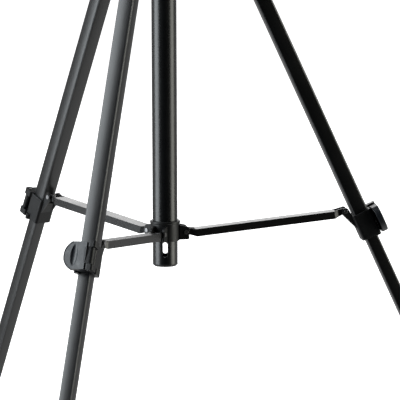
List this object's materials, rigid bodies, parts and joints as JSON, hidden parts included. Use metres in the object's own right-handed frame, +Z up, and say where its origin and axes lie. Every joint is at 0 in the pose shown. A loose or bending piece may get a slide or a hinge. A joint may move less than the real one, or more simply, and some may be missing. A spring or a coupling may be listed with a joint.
{
  "type": "tabletop easel",
  "caption": "Folding tripod easel: telescoping square legs with flip locks, a round mast, strut spreaders on a sliding hub, swivelling canvas arms and a top hook.",
  "frame": {"origin": "middle of the footprint, on the surface that the feet stand on", "axes": "+Z up along the mast, -Y towards the painter, the rear leg towards +Y"},
  "size_m": [0.5732, 0.4991, 0.877],
  "materials": {
    "mast_tube": "satin black anodised",
    "leg_tube": "satin black anodised",
    "rod_tube": "satin black anodised",
    "strut_metal": "satin grey-black",
    "black_plastic": "fine moulded grain",
    "lever_plastic": "satin moulded",
    "bush_plastic": "plain",
    "rubber": "matte",
    "steel": "blackened"
  },
  "bodies": {
    "mast": {"mast_tube": "mast_tube", "mast_end_plug": "black_plastic", "hub_stop_pin": "steel", "shoulder_yoke": "black_plastic", "shoulder_cap": "black_plastic", "shoulder_screws": "steel", "mast_lock_body": "black_plastic"},
    "hub": {"hub_collar": "black_plastic", "hub_pins": "steel"},
    "mast_knob": {"mast_knob": "black_plastic", "mast_screw": "steel"},
    "rod": {"mast_rod": "rod_tube", "rod_guide": "bush_plastic", "head_block": "black_plastic", "hook_pin": "steel"},
    "hook": {"canvas_hook": "black_plastic", "hook_pad": "rubber"},
    "strut_rear": {"strut_rear": "strut_metal"},
    "leg_rear": {"upper_leg_rear": "leg_tube", "leg_top_rear": "black_plastic", "leg_top_pin_rear": "steel", "lock_body_rear": "black_plastic", "lock_pins_rear": "steel", "lock_shoe_rear": "bush_plastic"},
    "lever_rear": {"lock_lever_rear": "lever_plastic"},
    "shin_rear": {"lower_leg_rear": "leg_tube", "leg_guide_rear": "bush_plastic", "foot_rear": "rubber"},
    "strut_front_left": {"strut_front_left": "strut_metal"},
    "leg_front_left": {"upper_leg_front_left": "leg_tube", "leg_top_front_left": "black_plastic", "leg_top_pin_front_left": "steel", "lock_body_front_left": "black_plastic", "lock_pins_front_left": "steel", "lock_shoe_front_left": "bush_plastic", "rest_bracket_front_left": "black_plastic", "rest_screw_front_left": "steel"},
    "lever_front_left": {"lock_lever_front_left": "lever_plastic"},
    "shin_front_left": {"lower_leg_front_left": "leg_tube", "leg_guide_front_left": "bush_plastic", "foot_front_left": "rubber"},
    "rest_arm_front_left": {"rest_arm_front_left": "black_plastic", "rest_pad_front_left": "rubber"},
    "strut_front_right": {"strut_front_right": "strut_metal"},
    "leg_front_right": {"upper_leg_front_right": "leg_tube", "leg_top_front_right": "black_plastic", "leg_top_pin_front_right": "steel", "lock_body_front_right": "black_plastic", "lock_pins_front_right": "steel", "lock_shoe_front_right": "bush_plastic", "rest_bracket_front_right": "black_plastic", "rest_screw_front_right": "steel"},
    "lever_front_right": {"lock_lever_front_right": "lever_plastic"},
    "shin_front_right": {"lower_leg_front_right": "leg_tube", "leg_guide_front_right": "bush_plastic", "foot_front_right": "rubber"},
    "rest_arm_front_right": {"rest_arm_front_right": "black_plastic", "rest_pad_front_right": "rubber"}
  },
  "joints": [
    {"name": "hub_slide", "type": "slide", "parent": "mast", "child": "hub", "axis": [0, 0, 1], "range_m": [0, 0.15067]},
    {"name": "rod_slide", "type": "slide", "parent": "mast", "child": "rod", "axis": [0, 0, 1], "range_m": [-0.15, 0.12]},
    {"name": "mast_knob_turn", "type": "hinge", "parent": "mast", "child": "mast_knob", "pos_m": [0, -0.07987, 0.6595], "axis": [1, 0, 0], "continuous": true},
    {"name": "hook_hinge", "type": "hinge", "parent": "rod", "child": "hook", "pos_m": [0, -0.09787, 0.867], "axis": [-1, 0, 0], "range_deg": [0, 100]},
    {"name": "strut_hinge_rear", "type": "hinge", "parent": "hub", "child": "strut_rear", "pos_m": [0, -0.05987, 0.2472], "axis": [-1, 0, 0], "range_deg": [0, 94.54]},
    {"name": "leg_hinge_rear", "type": "hinge", "parent": "strut_rear", "child": "leg_rear", "pos_m": [0, 0.10311, 0.26303], "axis": [-1, 0, 0], "range_deg": [-69.84, 0]},
    {"name": "lever_hinge_rear", "type": "hinge", "parent": "leg_rear", "child": "lever_rear", "pos_m": [-0.0076, 0.13908, 0.2547], "axis": [0, -0.4179, 0.9085], "range_deg": [0, 95]},
    {"name": "shin_slide_rear", "type": "slide", "parent": "leg_rear", "child": "shin_rear", "axis": [0, 0.4179, -0.9085], "range_m": [-0.233, 0.08]},
    {"name": "strut_hinge_front_left", "type": "hinge", "parent": "hub", "child": "strut_front_left", "pos_m": [-0.01732, -0.08987, 0.2472], "axis": [0.5, -0.866, 0], "range_deg": [0, 94.54]},
    {"name": "leg_hinge_front_left", "type": "hinge", "parent": "strut_front_left", "child": "leg_front_left", "pos_m": [-0.15846, -0.17136, 0.26303], "axis": [0.5, -0.866, 0], "range_deg": [-69.84, 0]},
    {"name": "lever_hinge_front_left", "type": "hinge", "parent": "leg_front_left", "child": "lever_front_left", "pos_m": [-0.18582, -0.19593, 0.2547], "axis": [0.3619, 0.2089, 0.9085], "range_deg": [0, 95]},
    {"name": "shin_slide_front_left", "type": "slide", "parent": "leg_front_left", "child": "shin_front_left", "axis": [-0.3619, -0.2089, -0.9085], "range_m": [-0.233, 0.08]},
    {"name": "rest_swivel_front_left", "type": "hinge", "parent": "leg_front_left", "child": "rest_arm_front_left", "pos_m": [-0.06751, -0.13734, 0.52512], "axis": [0, 0, -1], "range_deg": [0, 90]},
    {"name": "strut_hinge_front_right", "type": "hinge", "parent": "hub", "child": "strut_front_right", "pos_m": [0.01732, -0.08987, 0.2472], "axis": [0.5, 0.866, 0], "range_deg": [0, 94.54]},
    {"name": "leg_hinge_front_right", "type": "hinge", "parent": "strut_front_right", "child": "leg_front_right", "pos_m": [0.15846, -0.17136, 0.26303], "axis": [0.5, 0.866, 0], "range_deg": [-69.84, 0]},
    {"name": "lever_hinge_front_right", "type": "hinge", "parent": "leg_front_right", "child": "lever_front_right", "pos_m": [0.19342, -0.18276, 0.2547], "axis": [-0.3619, 0.2089, 0.9085], "range_deg": [0, 95]},
    {"name": "shin_slide_front_right", "type": "slide", "parent": "leg_front_right", "child": "shin_front_right", "axis": [0.3619, -0.2089, -0.9085], "range_m": [-0.233, 0.08]},
    {"name": "rest_swivel_front_right", "type": "hinge", "parent": "leg_front_right", "child": "rest_arm_front_right", "pos_m": [0.06751, -0.13734, 0.52512], "axis": [0, 0, 1], "range_deg": [0, 90]}
  ],
  "couplings": [
    {"joint": "strut_hinge_rear", "follows": "hub_slide", "rad_per_m": 10.95},
    {"joint": "leg_hinge_rear", "follows": "hub_slide", "rad_per_m": -8.089},
    {"joint": "strut_hinge_front_left", "follows": "hub_slide", "rad_per_m": 10.95},
    {"joint": "leg_hinge_front_left", "follows": "hub_slide", "rad_per_m": -8.089},
    {"joint": "strut_hinge_front_right", "follows": "hub_slide", "rad_per_m": 10.95},
    {"joint": "leg_hinge_front_right", "follows": "hub_slide", "rad_per_m": -8.089}
  ]
}
